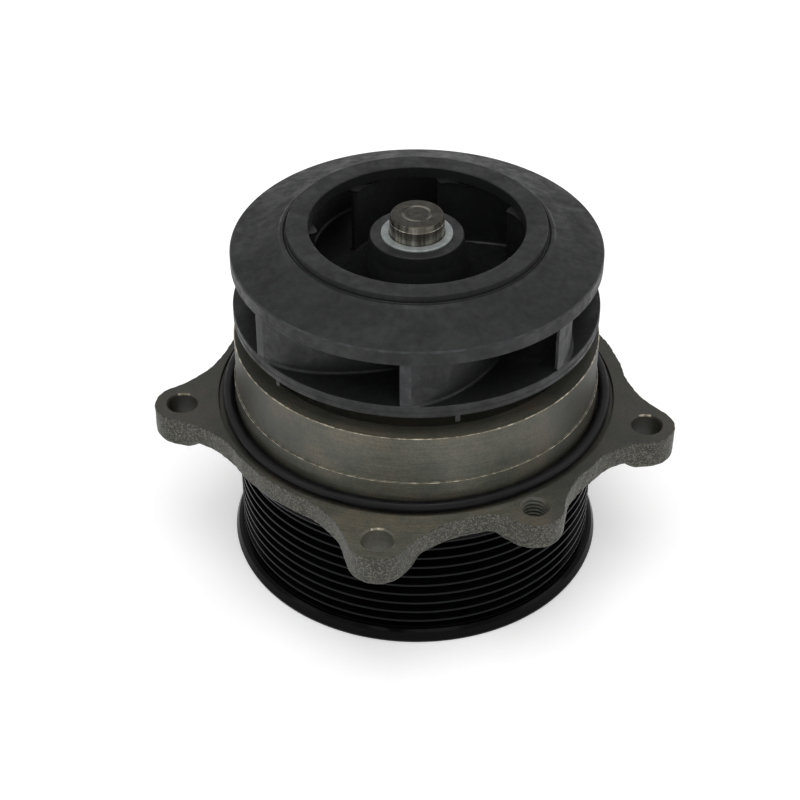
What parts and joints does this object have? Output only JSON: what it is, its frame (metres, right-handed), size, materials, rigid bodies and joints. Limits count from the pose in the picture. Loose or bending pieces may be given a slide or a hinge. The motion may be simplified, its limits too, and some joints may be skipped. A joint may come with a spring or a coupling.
{
  "type": "water pump",
  "caption": "Engine coolant pump: belt pulley and closed plastic impeller on a bearing shaft, in a cast iron flange housing with O-ring spigot.",
  "frame": {"origin": "on the shaft axis, in the plane of the pulley's free edge, which is the centre of the base that the pump stands on", "axes": "+Z along the shaft from the pulley to the impeller eye; +X to the right and +Y to the back, so the ear at -99 degrees points to the front"},
  "size_m": [0.156, 0.1557, 0.1144],
  "materials": {
    "cast_iron": "sand cast with machined faces",
    "pulley_paint": "gloss black over turned iron",
    "impeller_nylon": "satin, glass filled",
    "shaft_steel": "ground",
    "zinc_steel": "turned",
    "bearing_steel": "ground and polished",
    "seal_rubber": "moulded",
    "seal_brass": "drawn",
    "seal_carbon": "lapped carbon",
    "seal_ceramic": "lapped ceramic",
    "cage_nylon": "moulded"
  },
  "bodies": {
    "pump_body": {"pump_housing": "cast_iron", "housing_o_ring": "seal_rubber", "bearing_outer_ring": "bearing_steel", "bearing_seal_pulley_end": "seal_rubber", "bearing_seal_pump_end": "seal_rubber", "seal_case": "seal_brass", "seal_bellows": "seal_rubber", "seal_spring": "shaft_steel"},
    "rotor": {"shaft": "shaft_steel", "pulley": "pulley_paint", "impeller_rear_disc": "impeller_nylon", "impeller_front_shroud": "impeller_nylon", "impeller_bush": "zinc_steel", "seal_seat": "seal_ceramic", "seal_seat_boot": "seal_rubber", "water_slinger": "seal_rubber"},
    "ball_set": {"ball_cage": "cage_nylon", "bearing_ball_1": "bearing_steel", "bearing_ball_2": "bearing_steel", "bearing_ball_3": "bearing_steel", "bearing_ball_4": "bearing_steel", "bearing_ball_5": "bearing_steel", "bearing_ball_6": "bearing_steel", "bearing_ball_7": "bearing_steel", "bearing_ball_8": "bearing_steel"},
    "roller_set": {"roller_cage": "cage_nylon", "bearing_roller_1": "bearing_steel", "bearing_roller_2": "bearing_steel", "bearing_roller_3": "bearing_steel", "bearing_roller_4": "bearing_steel", "bearing_roller_5": "bearing_steel", "bearing_roller_6": "bearing_steel", "bearing_roller_7": "bearing_steel", "bearing_roller_8": "bearing_steel", "bearing_roller_9": "bearing_steel", "bearing_roller_10": "bearing_steel"},
    "seal_face": {"seal_carbon_ring": "seal_carbon"}
  },
  "joints": [
    {"name": "rotor_spin", "type": "hinge", "parent": "pump_body", "child": "rotor", "pos_m": [0, 0, 0.0335], "axis": [0, 0, 1], "continuous": true},
    {"name": "ball_set_spin", "type": "hinge", "parent": "pump_body", "child": "ball_set", "pos_m": [0, 0, 0.051], "axis": [0, 0, 1], "continuous": true},
    {"name": "roller_set_spin", "type": "hinge", "parent": "pump_body", "child": "roller_set", "pos_m": [0, 0, 0.0335], "axis": [0, 0, 1], "continuous": true},
    {"name": "seal_face_float", "type": "slide", "parent": "pump_body", "child": "seal_face", "axis": [0, 0, 1], "range_m": [-0.0008, 0], "stiffness_N_per_m": 300, "springref_m": 0.006, "deforming": ["seal_spring", "seal_bellows"]}
  ],
  "couplings": [
    {"joint": "ball_set_spin", "follows": "rotor_spin", "ratio": 0.3344},
    {"joint": "roller_set_spin", "follows": "rotor_spin", "ratio": 0.37}
  ]
}
